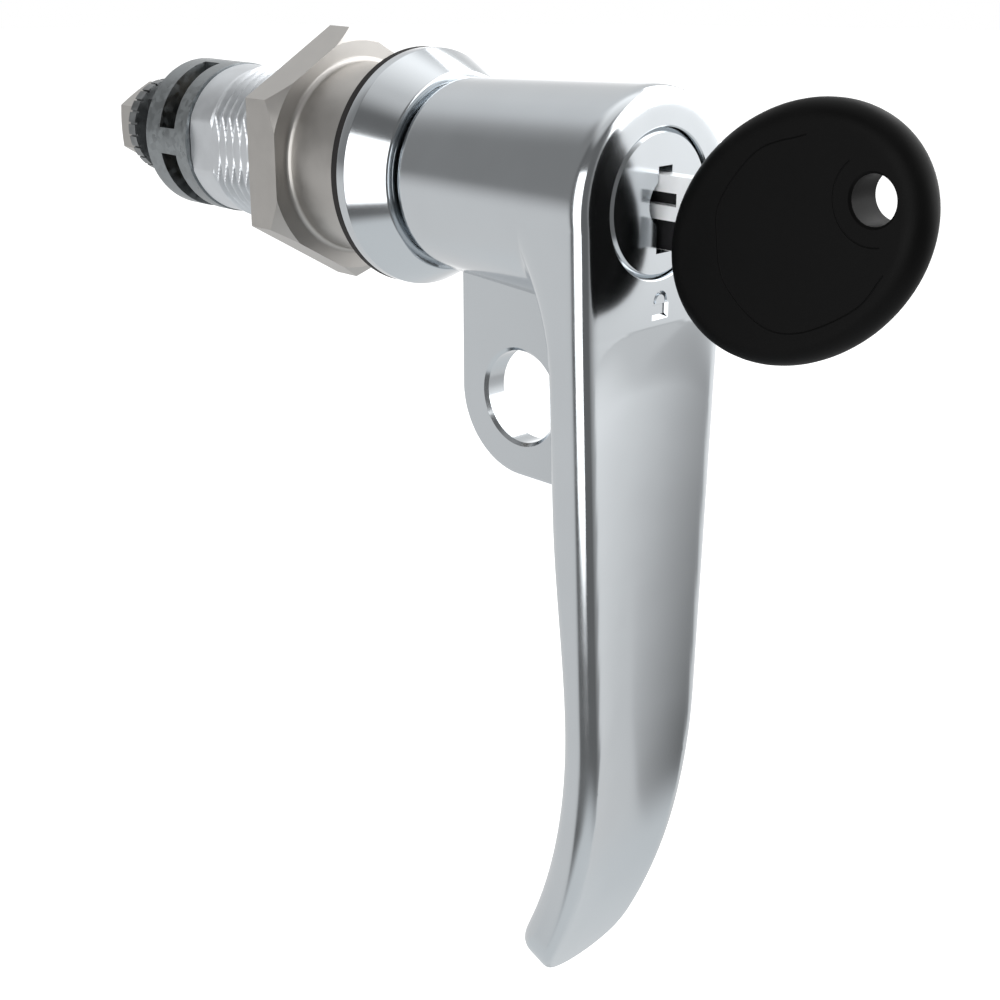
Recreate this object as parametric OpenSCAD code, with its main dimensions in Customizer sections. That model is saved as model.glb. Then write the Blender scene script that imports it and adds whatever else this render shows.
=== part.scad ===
// L-handle for a cabinet door, with key lock, padlock eye and threaded barrel.
// Sizes in mm. The latch turns about Y: the handle is towards -Y, the cam end towards +Y.
// The origin lies on the turning axis, on the outer face of the door panel. Z points up.

/* [Handle] */
// how far the handle's face stands in front of the panel
face_reach = 37.9; // [34:0.1:44]
// radius of the head at the face
head_r = 12.5; // [11.8:0.1:14]
// radius of the hub where it meets the flange
hub_r = 11.0; // [10.8:0.1:11.6]
// rounding of the face's edge
face_edge_r = 1.75; // [1:0.05:2.2]
// rounding of the hub's rear edge
hub_rear_edge = 2.2; // [1:0.1:3]
// length of the lever from the axis, along its front
lever_len = 102.5; // [90:0.5:115]
// length of the lever before it bends back
bend_start = 60; // [50:1:70]
// radius of the bend
bend_r = 76.5; // [60:0.5:110]
// forward lean of the straight stretch, in degrees
lever_lean = 0.5; // [0:0.1:1.5]
// loss of half width for each mm of length
lever_taper = 0.043; // [0.02:0.001:0.055]
// thickness of the lever
lever_t = 5.4; // [4.6:0.1:7]
// extra thickness of the lever's upper half
root_t = 1.2; // [0:0.1:1.6]
// length over which the extra thickness runs out, above the bend
root_run = 26; // [16:1:40]
// rounding of the lever's back edges
lever_back_r = 2.2; // [1.2:0.1:2.4]
// length of the rounded tip
tip_len = 8; // [5:0.5:14]
// radius that blends the hub into the lever's back
blend_r = 13; // [10:0.5:18]
// where that blend begins, below the axis
blend_start = 18; // [16:0.5:22]
// depth of the dished front
dish_depth = 1.1; // [0.5:0.1:1.6]
// where the dish begins, below the axis
dish_top = 13.4; // [12.5:0.1:18]
// length over which the dish reaches its depth
dish_run = 10; // [7:0.5:14]

/* [Padlock eye] */
// thickness of the eye's plate
eye_t = 3.4; // [2.6:0.1:5]
// diameter of the eye
eye_d = 11.2; // [8:0.1:12]
// chamfer of the eye
eye_chamfer = 0.4; // [0.2:0.05:0.8]
// eye centre below the axis
eye_drop = 25; // [23:0.1:27]
// eye centre in front of the panel
eye_reach = 18.7; // [18:0.1:20]
// radius of the plate round the eye
eye_plate_r = 9.7; // [8.5:0.1:10.5]

/* [Housing] */
// flange diameter
flange_d = 28; // [27:0.1:32]
// diameter at the front of the flange's cone
flange_front_d = 23.2; // [22.8:0.1:24]
// height of the flange's straight rim
flange_rim = 1.4; // [0.8:0.1:1.8]
// flange's front face in front of the panel
flange_reach = 7; // [6.6:0.1:8]
// thread diameter of the barrel
barrel_d = 20; // [19.4:0.1:21]
// distance across the barrel's two flats
barrel_flats = 18.2; // [17.6:0.1:18.8]
// thread pitch, for the thread's run-out
thread_pitch = 1.5; // [1:0.25:2]
// end of the thread behind the panel
thread_end = 29.6; // [28:0.1:34]
// diameter of the plain nose behind the thread
nose_d = 19.36; // [18.8:0.02:19.4]
// length of the nose
nose_len = 5.3; // [4:0.1:8]
// relief round the neck at the flange's mouth
mouth_gap = 0.4; // [0.2:0.05:0.5]
// depth of that relief
mouth_depth = 0.9; // [0.6:0.1:1]
// diameter of the handle's neck inside the flange
neck_d = 20.5; // [20:0.1:21]
// depth of the flange that stays behind the neck
neck_web = 1.7; // [1.5:0.1:2]
// diameter of the handle's journal inside the barrel
journal_d = 15; // [14:0.1:15.4]
// length of the journal behind the panel
journal_len = 14; // [12:0.5:18]
// thickness of the journal's seal ring
seal_t = 1.3; // [1.1:0.05:1.4]
// place of the seal ring behind the panel
seal_y = 3.5; // [3.2:0.1:4.5]

/* [Gasket and nut] */
// gasket thickness
gasket_t = 0.9; // [0.6:0.05:1.5]
// nut size across flats
nut_af = 27; // [26:0.5:30]
// thickness of the nut's hexagon
nut_t = 5.3; // [4:0.1:7]
// diameter of the nut's collar
collar_d = 23; // [22:0.1:25]
// length of the nut's collar
collar_len = 11; // [6:0.1:11.4]
// fillet between collar and hexagon
collar_fillet = 0.7; // [0.3:0.1:1]
// diameter of the chamfer circle on the nut's front
nut_chamfer_d = 28.1; // [27.6:0.1:30]

/* [Spindle and cam end] */
// spindle diameter
spindle_d = 11.2; // [10.4:0.1:11.6]
// square of the spindle where it enters the handle
drive_af = 7.8; // [7:0.1:8]
// start of that square behind the panel
drive_start = 2; // [1.6:0.1:2.4]
// square of the spindle where the cam sits
cam_square = 8; // [7:0.1:8.4]
// length of that square behind the retaining ring
cam_seat_len = 6.4; // [4:0.1:10]
// diameter of the cross pin
cross_pin_d = 2.5; // [2:0.1:3]
// length of the bush inside the barrel
bush_len = 12; // [8:0.5:14]
// outside diameter of the stop sleeve
sleeve_d = 19.7; // [19:0.1:20.4]
// length of the stop sleeve
sleeve_len = 9.5; // [8.5:0.1:12]
// wall of the stop sleeve
sleeve_wall = 1.5; // [1.2:0.1:2]
// web at the sleeve's rear
sleeve_web = 2.4; // [1.8:0.1:3]
// width of the sleeve's windows
window_w = 3.35; // [2.5:0.05:3.6]
// front edge of the windows behind the barrel
window_start = 2.6; // [2.4:0.05:3]
// angle left between two windows
window_bridge = 20; // [14:1:30]
// height of the stop crescent on the barrel
stop_h = 1.4; // [1:0.1:1.8]
// turn of the handle between its stops, in degrees
handle_turn = 90; // [90:1:120]
// angle that the sleeve's stop rib takes, in degrees
stop_rib = 38; // [30:1:45]
// thickness of the retaining ring
ring_t = 1; // [0.8:0.1:1.2]
// diameter of the washer under the screw
washer_d = 12.9; // [12:0.1:14]
// thickness of that washer
washer_t = 1.6; // [1:0.1:2]
// teeth on the rim of that washer
washer_teeth = 24; // [16:1:32]
// thread diameter of the cam screw
screw_d = 6; // [5:0.5:6]
// size of the screw's hexagon
screw_af = 10; // [8:0.5:11]
// height of the screw's hexagon
screw_head = 4; // [3:0.1:5]
// length of the screw under the head
screw_len = 16; // [12:1:20]

/* [Lock] */
// diameter of the plug's face
plug_face_d = 16; // [15:0.1:16.4]
// thickness of the plug's face
plug_face_t = 1.6; // [1.2:0.1:2]
// chamfer round the plug's face
plug_chamfer = 0.5; // [0.3:0.05:0.9]
// diameter of the plug's body
plug_d = 12.5; // [12:0.1:13]
// length of the lock from the face to the clip's seat
lock_len = 21.8; // [20:0.1:22]
// space behind the lock's shell for its clip
clip_space = 3; // [2.6:0.1:3.4]
// diameter of the driver that passes through the web
driver_d = 6; // [5:0.1:6.6]
// eccentricity of the driver's pin
driver_throw = 0.85; // [0.6:0.01:0.9]
// diameter of the driver's pin
driver_pin_d = 1.6; // [1.4:0.1:2]
// width of the locking bolt
bolt_w = 6; // [5:0.1:6.6]
// thickness of the locking bolt
bolt_t = 1.9; // [1.5:0.1:2]
// number of wafers
wafer_count = 5; // [4:1:6]
// spacing of the wafers
wafer_pitch = 3; // [2.6:0.1:3]
// thickness of a wafer
wafer_t = 1.2; // [1:0.1:1.4]
// width of a wafer
wafer_w = 7; // [6.4:0.1:7.6]
// reach of the lug on a wafer's side
lug_w = 1.4; // [1.2:0.1:1.6]
// height of that lug
lug_h = 0.9; // [0.6:0.1:1]
// length of the spring under the lug
spring_len = 3; // [2.4:0.1:3.4]
// wire of that spring
spring_wire = 0.24; // [0.2:0.02:0.3]
// turns of that spring
spring_turns = 4; // [3:1:6]

/* [Key] */
// thickness of the blade
blade_t = 2; // [1.6:0.1:2.2]
// height of the blade
blade_h = 8.2; // [7.6:0.1:8.6]
// offset of the blade from the plug's middle
blade_side = 0.65; // [0.4:0.05:0.8]
// drop of the blade from the plug's middle
blade_drop = 0.9; // [0.6:0.05:1]
// length of the blade inside the lock
blade_len = 21; // [18:0.5:22]
// depth of the grooves along the blade
blade_groove = 1.1; // [0.3:0.05:1.2]
// start of those grooves in front of the plug
groove_reach = 2.3; // [1:0.1:5]
// length of the bow's oval
bow_len = 32.6; // [28:0.2:36]
// width of the bow's oval
bow_w = 25; // [22:0.2:28]
// thickness of the bow
bow_t = 4.6; // [4:0.1:5.2]
// tilt of the oval, in degrees
bow_tilt = 33; // [20:1:45]
// middle of the bow in front of the handle's face
bow_reach = 17.6; // [17.6:0.1:20]
// diameter of the hole for a key ring
ring_hole_d = 5; // [4:0.1:6]
// place of that hole along the oval
ring_hole_at = 10.85; // [10:0.05:11.5]
// drop of that hole from the oval's long axis
ring_hole_drop = 1.2; // [0:0.1:2]

/* [Clearances] */
// clearance round a piece that turns or slides
run_gap = 0.05; // [0.03:0.01:0.08]
// clearance round a piece that is fixed
fit_gap = 0.03; // [0.02:0.01:0.05]
// end clearance of a piece that turns
end_gap = 0.1; // [0.06:0.01:0.2]

/* [Hidden] */
$fn = 64;
face_y = -face_reach;
flange_rear = -gasket_t;
flange_r = flange_d / 2;
rim_front = flange_rear - flange_rim;
neck_r = neck_d / 2;
recess_y = flange_rear - neck_web;
thrust_t = 0.4;
neck_rear = recess_y - thrust_t - end_gap;
hub_rear = -flange_reach - 2 * end_gap;
journal_r = journal_d / 2;
journal_bore_r = journal_r + run_gap;
barrel_rear = thread_end + nose_len;
spindle_r = spindle_d / 2;
drive_corner_r = drive_af * 0.68;
pin_y = journal_len * 0.6;
seal_groove_r = journal_r - seal_t - fit_gap;
seal_groove_half = seal_t / 2 + 3 * run_gap;
sleeve_front = barrel_rear + end_gap;
sleeve_rear = sleeve_front + sleeve_len;
sleeve_r = sleeve_d / 2;
sleeve_hollow_r = sleeve_r - sleeve_wall;
web_front = sleeve_rear - sleeve_web;
stop_in = spindle_r + 0.6;
stop_out = sleeve_hollow_r - 2 * end_gap;
stop_free = 0.5;
ring_front = sleeve_rear + end_gap;
ring_rear = ring_front + ring_t;
spindle_end = ring_rear + cam_seat_len;
cam_corner_r = cam_square * 0.69;
ring_groove_r = cam_corner_r - 0.6;
washer_front = spindle_end;
head_front = washer_front + washer_t;
lock_bore_r = plug_face_d / 2 + 2 * run_gap;
lock_seat = face_y + lock_len;
clip_bore_r = lock_bore_r - 0.5;
web_y = lock_seat + clip_space;
plug_r = plug_d / 2;
plug_front = face_y + end_gap;
plug_back = web_y - end_gap;
shell_front = plug_front + plug_face_t + end_gap;
clip_y = lock_seat + end_gap;
clip_t = 1;
bolt_rear = neck_rear - 0.6;
bolt_front = bolt_rear - bolt_t;
bolt_top_r = neck_r - run_gap;
bolt_foot = -5;
bolt_stroke = 2 * driver_throw * sin(45);
notch_r = bolt_top_r + bolt_stroke + 3 * run_gap;
pin_play = 0.08;
key_front = face_y - bow_reach;
blade_hold = 4;
slot_x0 = blade_side - blade_t / 2 - 0.12;
slot_x1 = blade_side + blade_t / 2 + 0.12;
slot_z0 = -blade_drop - blade_h / 2 - 0.3;
slot_z1 = -blade_drop + blade_h / 2 + 0.8;
lug_x1 = wafer_w / 2 + lug_w;
spring_z0 = -spring_len / 2;
lug_z0 = spring_z0 + spring_len + fit_gap;
spring_coil_r = (wafer_t - spring_wire) / 2;

// a turned piece from a profile of [radius, y] points
module turned(profile) {
  rotate([-90, 0, 0])
    rotate_extrude()
      polygon(profile);
}

// a round bar or bore along Y
module bar_y(r, y0, y1) {
  translate([0, y0, 0])
    rotate([-90, 0, 0])
      cylinder(r = r, h = y1 - y0);
}

// a plate drawn in X and Z, with its thickness along Y
module plate_y(y0, y1) {
  translate([0, y1, 0])
    rotate([90, 0, 0])
      linear_extrude(y1 - y0)
        children();
}

// a plate drawn in Y and Z, with its thickness along X about the middle
module plate_x(t) {
  rotate([90, 0, 90])
    linear_extrude(t, center = true)
      children();
}

// points of an arc round [cx, cy] from angle a0 to a1
function arc(cx, cy, r, a0, a1, steps) =
  [for (i = [0 : steps]) let (a = a0 + (a1 - a0) * i / steps) [cx + r * cos(a), cy + r * sin(a)]];

// a sector drawn in X and Z between two angles
module sector(r, a0, a1) {
  polygon(concat([[0, 0]], arc(0, 0, r, a0, a1, 24)));
}

// smooth step from 0 to 1
function ramp(u) = let (c = min(1, max(0, u))) c * c * (3 - 2 * c);

// heading of the lever's front, in degrees from straight down
function heading(s) = max(0, s - bend_start) / bend_r * 180 / PI - (s > dish_top ? lever_lean : 0);

// place of the lever's front at length s, as [y, z]
function lever_at(s) =
  let (straight = min(s, bend_start), leaning = max(0, straight - dish_top))
  let (a = heading(s), a0 = -lever_lean, round_r = s > bend_start ? bend_r : 0)
  [
    face_y + 0.02 - leaning * sin(lever_lean) + round_r * (cos(a0) - cos(a)),
    leaning - straight - leaning * cos(lever_lean) - round_r * (sin(a) - sin(a0))
  ];

// half width of the lever, rounded off at the tip
function lever_half(s) =
  (head_r - 0.05 - lever_taper * s)
  * sqrt(max(0.003, 1 - pow(max(0, s - lever_len + tip_len) / tip_len, 3)));

// depth of the dish at length s
function dish(s) =
  let (short = min(1, max(0, 1 - (s - dish_top) / dish_run)))
  dish_depth * (1 - short * short) * (1 - ramp((s - bend_start) / (lever_len - bend_start)));

// how far an edge of radius r draws in where the lever ends
function tip_draw(s, r) = r - sqrt(max(0, r * r - pow(max(0, s - lever_len + r), 2)));

// right half of the lever's section, as [x, depth] from the middle of the front to the back
function half_section(s) =
  let (w = lever_half(s), front = tip_draw(s, face_edge_r))
  let (root = root_t * ramp((bend_start - s) / root_run))
  let (swell = pow(max(0, blend_start - s), 2) / (2 * blend_r))
  let (back = lever_t + root + swell - tip_draw(s, lever_back_r))
  let (room = 0.45 * (back - front), fr = min(face_edge_r, room, 0.8 * w))
  let (br = min(lever_back_r + 0.6 * swell, room, 0.8 * w), wb = w - 0.05 * back)
  concat(
    [for (u = [0 : 0.25 : 0.9]) [u * (w - fr), front + dish(s) * (1 - u * u)]],
    [for (a = [0 : 30 : 90]) [w - fr + fr * sin(a), front + fr - fr * cos(a)]],
    [for (a = [0 : 30 : 90]) [wb - br + br * cos(a), back - br + br * sin(a)]],
    [[0, back]]
  );

// one closed ring of points across the lever
function lever_ring(s) =
  let (half = half_section(s), n = len(half), p = lever_at(s), a = heading(s))
  let (ring = concat(half, [for (i = [n - 2 : -1 : 1]) [-half[i][0], half[i][1]]]))
  [for (q = ring) [q[0], p[0] + q[1] * cos(a), p[1] + q[1] * sin(a)]];

// lengths at which the lever is cut: close at the head and the tip
lever_cuts = concat(
  [for (s = [0 : 2 : 20]) s],
  [for (i = [1 : 14]) 20 + (lever_len - tip_len - 20) * i / 14],
  [for (a = [15 : 15 : 75]) lever_len - tip_len + tip_len * sin(a)],
  [lever_len - 0.12, lever_len - 0.02]
);

// the lever as a loft through its rings
module lever() {
  rings = [for (s = lever_cuts) lever_ring(s)];
  n = len(rings[0]);
  m = len(rings);
  tip = (m - 1) * n;
  back = n / 2;
  fan = [for (i = [0 : n - 1]) let (k = (i + 1) % n) if (i != back && k != back) [i, k]];
  polyhedron(
    points = [for (ring = rings) each ring],
    faces = concat(
      [for (e = fan) [back, e[1], e[0]]],
      [for (j = [0 : m - 2], i = [0 : n - 1]) let (a = j * n, b = a + n, k = (i + 1) % n)
        each [[a + i, a + k, b + i], [a + k, b + k, b + i]]],
      [for (e = fan) [tip + back, tip + e[0], tip + e[1]]]
    ),
    convexity = 6
  );
}

// hub, neck and journal turned in one
module hub() {
  edge_y = face_y + face_edge_r;
  turned(concat(
    [[0, journal_len], [journal_r - 0.4, journal_len], [journal_r, journal_len - 0.4]],
    [[journal_r, neck_rear], [neck_r, neck_rear], [neck_r, hub_rear]],
    [for (a = [0 : 15 : 90])
      [neck_r + (hub_r - neck_r) * sin(a), hub_rear - hub_rear_edge * (1 - cos(a))]],
    arc(head_r - face_edge_r, edge_y, face_edge_r, 0, -90, 6),
    [[0, face_y]]
  ));
}

// plate with the padlock eye, between hub and lever
module eye_plate() {
  rear = -eye_reach + eye_plate_r;
  low = -eye_drop - eye_plate_r;
  plate_x(eye_t)
    polygon(concat(
      [[face_y + lever_t * 0.6, -hub_r * 0.7], [rear, -hub_r * 0.7]],
      arc(-eye_reach, -eye_drop, eye_plate_r, 0, -90, 16),
      [[face_y + lever_t * 0.6, low]]
    ));
}

// the eye, chamfered on both sides
module eye_hole() {
  r = eye_d / 2;
  half = eye_t / 2;
  lip = r + eye_chamfer;
  translate([0, -eye_reach, -eye_drop])
    rotate([0, 90, 0])
      rotate_extrude()
        polygon([
          [0, -half - 1], [lip + 1, -half - 1], [r, -half + eye_chamfer],
          [r, half - eye_chamfer], [lip + 1, half + 1], [0, half + 1]
        ]);
}

// die-cast handle with hub, lever, padlock eye and journal
module handle() {
  color([0.72, 0.74, 0.75])
    difference() {
      union() {
        hub();
        lever();
        eye_plate();
      }
      eye_hole();
      bar_y(lock_bore_r, face_y - 1, lock_seat);
      bar_y(clip_bore_r, face_y - 1, web_y);
      bar_y(driver_d / 2 + run_gap, face_y - 1, bolt_front);
      plate_y(bolt_front - run_gap, bolt_rear + run_gap)
        translate([-bolt_w / 2 - run_gap, bolt_foot - run_gap])
          square([bolt_w + 2 * run_gap, neck_r + 2 - bolt_foot]);
      plate_y(drive_start - end_gap, journal_len + 1)
        drive_square(fit_gap);
      translate([0, pin_y, 0])
        cylinder(d = cross_pin_d + 2 * fit_gap, h = journal_d + 2, center = true);
      turned([
        [seal_groove_r, seal_y - seal_groove_half], [journal_r + 1, seal_y - seal_groove_half],
        [journal_r + 1, seal_y + seal_groove_half], [seal_groove_r, seal_y + seal_groove_half]
      ]);
    }
}

// square with its corners trimmed round, drawn in X and Z
module trimmed_square(af, corner_r) {
  intersection() {
    square(af, center = true);
    circle(r = corner_r);
  }
}

// square of the spindle inside the handle, with a gap all round
module drive_square(gap) {
  trimmed_square(drive_af + 2 * gap, drive_corner_r + gap);
}

// flange, barrel with two flats, nose and stop crescent
module housing() {
  front_r = flange_front_d / 2;
  nose_r = nose_d / 2;
  round_f = 0.3;
  color([0.74, 0.76, 0.78])
    difference() {
      union() {
        turned([
          [0, flange_rear], [flange_r, flange_rear], [flange_r, rim_front + round_f],
          [flange_r - round_f, rim_front], [front_r, -flange_reach + 0.5],
          [front_r - 0.4, -flange_reach], [0, -flange_reach]
        ]);
        intersection() {
          turned([
            [0, flange_rear - 0.1], [barrel_d / 2, flange_rear - 0.1],
            [barrel_d / 2, thread_end - thread_pitch / 2], [nose_r, thread_end],
            [nose_r, barrel_rear - 0.3], [nose_r - 0.3, barrel_rear], [0, barrel_rear]
          ]);
          plate_y(flange_rear - 1, barrel_rear + 1)
            square([barrel_flats, barrel_d + 2], center = true);
        }
        plate_y(barrel_rear - 0.1, barrel_rear + stop_h)
          stop_crescent();
      }
      bar_y(neck_r + run_gap, -flange_reach - 1, recess_y);
      bar_y(neck_r + mouth_gap, -flange_reach - 1, -flange_reach + mouth_depth);
      bar_y(journal_bore_r, -flange_reach - 1, barrel_rear + stop_h + 1);
      for (turn = [0, handle_turn])
        rotate([0, turn, 0])
          bolt_notch();
    }
}

// notch for the locking bolt in the flange's wall
module bolt_notch() {
  half = bolt_w / 2 + 3 * run_gap;
  plate_y(bolt_front - 2 * run_gap, bolt_rear + 2 * run_gap)
    intersection() {
      translate([-half, 0])
        square([2 * half, notch_r + 1]);
      circle(r = notch_r);
    }
}

// crescent on the barrel's rear face that stops the sleeve's rib
module stop_crescent() {
  first = -90 + stop_rib / 2 + stop_free;
  last = 270 - stop_rib / 2 - handle_turn - stop_free;
  difference() {
    intersection() {
      circle(r = stop_out);
      polygon(concat([[0, 0]], arc(0, 0, 2 * stop_out, first, last, 24)));
    }
    circle(r = journal_bore_r);
  }
}

// flat gasket behind the flange
module gasket() {
  color([0.13, 0.13, 0.13])
    difference() {
      bar_y(flange_r, flange_rear, 0);
      bar_y(barrel_d / 2 + 2 * run_gap, flange_rear - 1, 1);
    }
}

// hexagon nut with a round collar that bears on the panel
module clamp_nut() {
  face = end_gap + collar_len;
  back = face + nut_t;
  corner_r = nut_af / sqrt(3);
  collar_r = collar_d / 2;
  chamfer_r = nut_chamfer_d / 2;
  rear_r = nut_af / 2;
  color([0.65, 0.64, 0.62])
    difference() {
      union() {
        intersection() {
          plate_y(face, back)
            rotate(30)
              circle(r = corner_r, $fn = 6);
          turned([
            [0, face], [chamfer_r, face], [chamfer_r + 3, face + 3], [chamfer_r + 3, back - 1],
            [corner_r + 0.4, back - 0.1], [corner_r + 0.2, back], [0, back]
          ]);
        }
        turned(concat(
          [[0, end_gap], [collar_r - 0.3, end_gap], [collar_r, end_gap + 0.3]],
          arc(collar_r + collar_fillet, face - collar_fillet, collar_fillet, 180, 90, 6),
          [[collar_r + collar_fillet, face + 0.1], [0, face + 0.1]]
        ));
      }
      bar_y(barrel_d / 2 + run_gap, -1, back + 1);
    }
}

// thin ring between the handle's neck and the flange
module thrust_washer() {
  color([0.85, 0.83, 0.76])
    difference() {
      bar_y(neck_r - run_gap, recess_y - thrust_t, recess_y);
      bar_y(journal_bore_r, recess_y - 1, recess_y + 1);
    }
}

// bush that carries the spindle at the barrel's rear
module barrel_bush() {
  color([0.66, 0.5, 0.3])
    difference() {
      bar_y(journal_bore_r - fit_gap, barrel_rear - bush_len, barrel_rear);
      bar_y(spindle_r + run_gap, barrel_rear - bush_len - 1, barrel_rear + 1);
    }
}

// steel spindle from the handle to the cam seat
module spindle() {
  color([0.6, 0.6, 0.6])
    difference() {
      union() {
        plate_y(drive_start, journal_len + 0.2)
          drive_square(0);
        bar_y(spindle_r, journal_len + end_gap, web_front);
        plate_y(web_front - 0.1, spindle_end)
          trimmed_square(cam_square, cam_corner_r);
      }
      translate([0, pin_y, 0])
        cylinder(d = cross_pin_d + 2 * fit_gap, h = drive_af + 4, center = true);
      difference() {
        bar_y(cam_corner_r + 1, ring_front - fit_gap, ring_rear + fit_gap);
        bar_y(ring_groove_r, ring_front - 1, ring_rear + 1);
      }
      bar_y(screw_d / 2 + fit_gap, spindle_end - screw_len, spindle_end + 1);
    }
}

// pin through journal and spindle
module cross_pin() {
  color([0.5, 0.5, 0.5])
    translate([0, pin_y, 0])
      cylinder(d = cross_pin_d, h = journal_d - 0.4, center = true);
}

// rubber ring in the journal's groove
module seal_ring() {
  color([0.1, 0.1, 0.1])
    translate([0, seal_y, 0])
      rotate([-90, 0, 0])
        rotate_extrude()
          translate([journal_r - seal_t / 2, 0])
            circle(d = seal_t, $fn = 32);
}

// windowed sleeve on the spindle, with the rib that meets the stop crescent
module stop_sleeve() {
  half_open = 45 - window_bridge / 2;
  front = sleeve_front + window_start;
  color([0.55, 0.57, 0.56])
    difference() {
      union() {
        turned([
          [sleeve_hollow_r, sleeve_front], [sleeve_r, sleeve_front], [sleeve_r, sleeve_rear - 0.4],
          [sleeve_r - 0.4, sleeve_rear], [0, sleeve_rear], [0, web_front + end_gap],
          [sleeve_hollow_r, web_front + end_gap]
        ]);
        plate_y(sleeve_front, web_front + 0.2)
          difference() {
            intersection() {
              circle(r = sleeve_hollow_r + 0.2);
              sector(2 * sleeve_r, -90 - stop_rib / 2, -90 + stop_rib / 2);
            }
            circle(r = stop_in);
          }
      }
      plate_y(web_front - 1, sleeve_rear + 1)
        trimmed_square(cam_square + 2 * fit_gap, cam_corner_r + fit_gap);
      for (a = [45 : 90 : 315])
        plate_y(front, front + window_w)
          difference() {
            sector(sleeve_r + 1, a - half_open, a + half_open);
            circle(r = sleeve_hollow_r - 0.2);
          }
    }
}

// open ring in the groove of the cam square
module retaining_ring() {
  color([0.35, 0.35, 0.36])
    plate_y(ring_front, ring_rear)
      difference() {
        circle(r = ring_groove_r + 2.4);
        circle(r = ring_groove_r + fit_gap);
        translate([-1.4, 0])
          square([2.8, ring_groove_r + 4]);
      }
}

// toothed washer under the cam screw
module lock_washer() {
  r = washer_d / 2;
  color([0.25, 0.26, 0.27])
    plate_y(washer_front, head_front)
      difference() {
        circle(r = r);
        circle(r = screw_d / 2 + 0.2);
        for (i = [0 : washer_teeth - 1])
          rotate(360 / washer_teeth * (i + 0.5))
            translate([r, 0])
              square([0.7, 0.3], center = true);
      }
}

// hexagon screw that clamps the cam
module cam_screw() {
  color([0.66, 0.64, 0.62])
    union() {
      intersection() {
        plate_y(head_front, head_front + screw_head)
          rotate(30)
            circle(r = screw_af / sqrt(3), $fn = 6);
        turned([
          [0, head_front], [screw_af, head_front], [screw_af, head_front + screw_head - 1.6],
          [screw_af / 2, head_front + screw_head], [0, head_front + screw_head]
        ]);
      }
      bar_y(screw_d / 2, spindle_end - screw_len + 1, head_front + 0.1);
    }
}

// keyway drawn in X and Z
module keyway() {
  translate([slot_x0, slot_z0])
    square([slot_x1 - slot_x0, slot_z1 - slot_z0]);
}

// place of wafer i along the lock
function wafer_y(i) = shell_front + 2.4 + i * wafer_pitch;

// fixed shell of the lock, with grooves that catch the wafers
module lock_shell() {
  color([0.6, 0.58, 0.5])
    difference() {
      bar_y(lock_bore_r - fit_gap, shell_front, lock_seat);
      bar_y(plug_r + run_gap, shell_front - 1, lock_seat + 1);
      plate_y(shell_front + 1.4, lock_seat - 2)
        square([wafer_w * 0.7, 2 * plug_r + 2.2], center = true);
    }
}

// plug that the key turns
module lock_plug() {
  bulge_r = 2.6;
  color([0.72, 0.72, 0.7])
    difference() {
      union() {
        turned([
          [0, plug_front], [plug_face_d / 2 - plug_chamfer, plug_front],
          [plug_face_d / 2, plug_front + plug_chamfer],
          [plug_face_d / 2, plug_front + plug_face_t], [0, plug_front + plug_face_t]
        ]);
        bar_y(plug_r, plug_front + plug_face_t - 0.1, plug_back);
      }
      plate_y(plug_front - 1, lock_seat - 0.5)
        keyway();
      plate_y(plug_front - 1, plug_front + plug_face_t)
        translate([slot_x0 + bulge_r - 1.35, 0])
          circle(r = bulge_r);
      for (i = [0 : wafer_count - 1])
        plate_y(wafer_y(i) - run_gap, wafer_y(i) + wafer_t + run_gap) {
          square([wafer_w + 2 * run_gap, 2 * plug_r + 2], center = true);
          translate([0, spring_z0 - fit_gap])
            square([lug_x1 + run_gap, spring_len + lug_h + 2 * fit_gap + run_gap]);
        }
      difference() {
        bar_y(plug_r + 1, clip_y - run_gap, clip_y + clip_t + run_gap);
        bar_y(plug_r - 0.8, clip_y - 1, clip_y + clip_t + 1);
      }
      plate_y(plug_back - 1.4, plug_back + 1)
        square([driver_d * 0.6 + 2 * fit_gap, 2 * plug_r + 1], center = true);
    }
}

// wafers in the plug, lifted level by the key
module wafers() {
  color([0.75, 0.62, 0.35])
    for (i = [0 : wafer_count - 1])
      plate_y(wafer_y(i), wafer_y(i) + wafer_t)
        difference() {
          union() {
            intersection() {
              circle(r = plug_r - run_gap);
              square([wafer_w, 3 * plug_r], center = true);
            }
            translate([wafer_w / 2 - 0.1, lug_z0])
              square([lug_w + 0.1, lug_h]);
          }
          offset(delta = 0.1)
            keyway();
        }
}

// one ring of points round the wire of a spring, at angle a along its coil
function wire_ring(a, sides) =
  let (rise = spring_len - spring_wire, z = spring_wire / 2 + rise * a / (360 * spring_turns))
  [for (i = [0 : sides - 1]) let (t = 360 * i / sides, r = spring_coil_r + spring_wire / 2 * cos(t))
    [r * cos(a), r * sin(a), z + spring_wire / 2 * sin(t)]];

// coil spring that stands on Z = 0
module coil_spring() {
  sides = 5;
  steps = 9 * spring_turns;
  last = steps * sides;
  polyhedron(
    points = [for (j = [0 : steps]) each wire_ring(360 * spring_turns * j / steps, sides)],
    faces = concat(
      [[for (i = [0 : sides - 1]) i]],
      [for (j = [0 : steps - 1], i = [0 : sides - 1]) let (a = j * sides, b = a + sides, k = (i + 1) % sides)
        each [[a + i, b + i, a + k], [a + k, b + i, b + k]]],
      [[for (i = [sides - 1 : -1 : 0]) last + i]]
    ),
    convexity = 8
  );
}

// springs that push the wafers' lugs
module wafer_springs() {
  color([0.7, 0.7, 0.68])
    for (i = [0 : wafer_count - 1])
      translate([(wafer_w / 2 + lug_x1) / 2, wafer_y(i) + wafer_t / 2, spring_z0])
        coil_spring();
}

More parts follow.
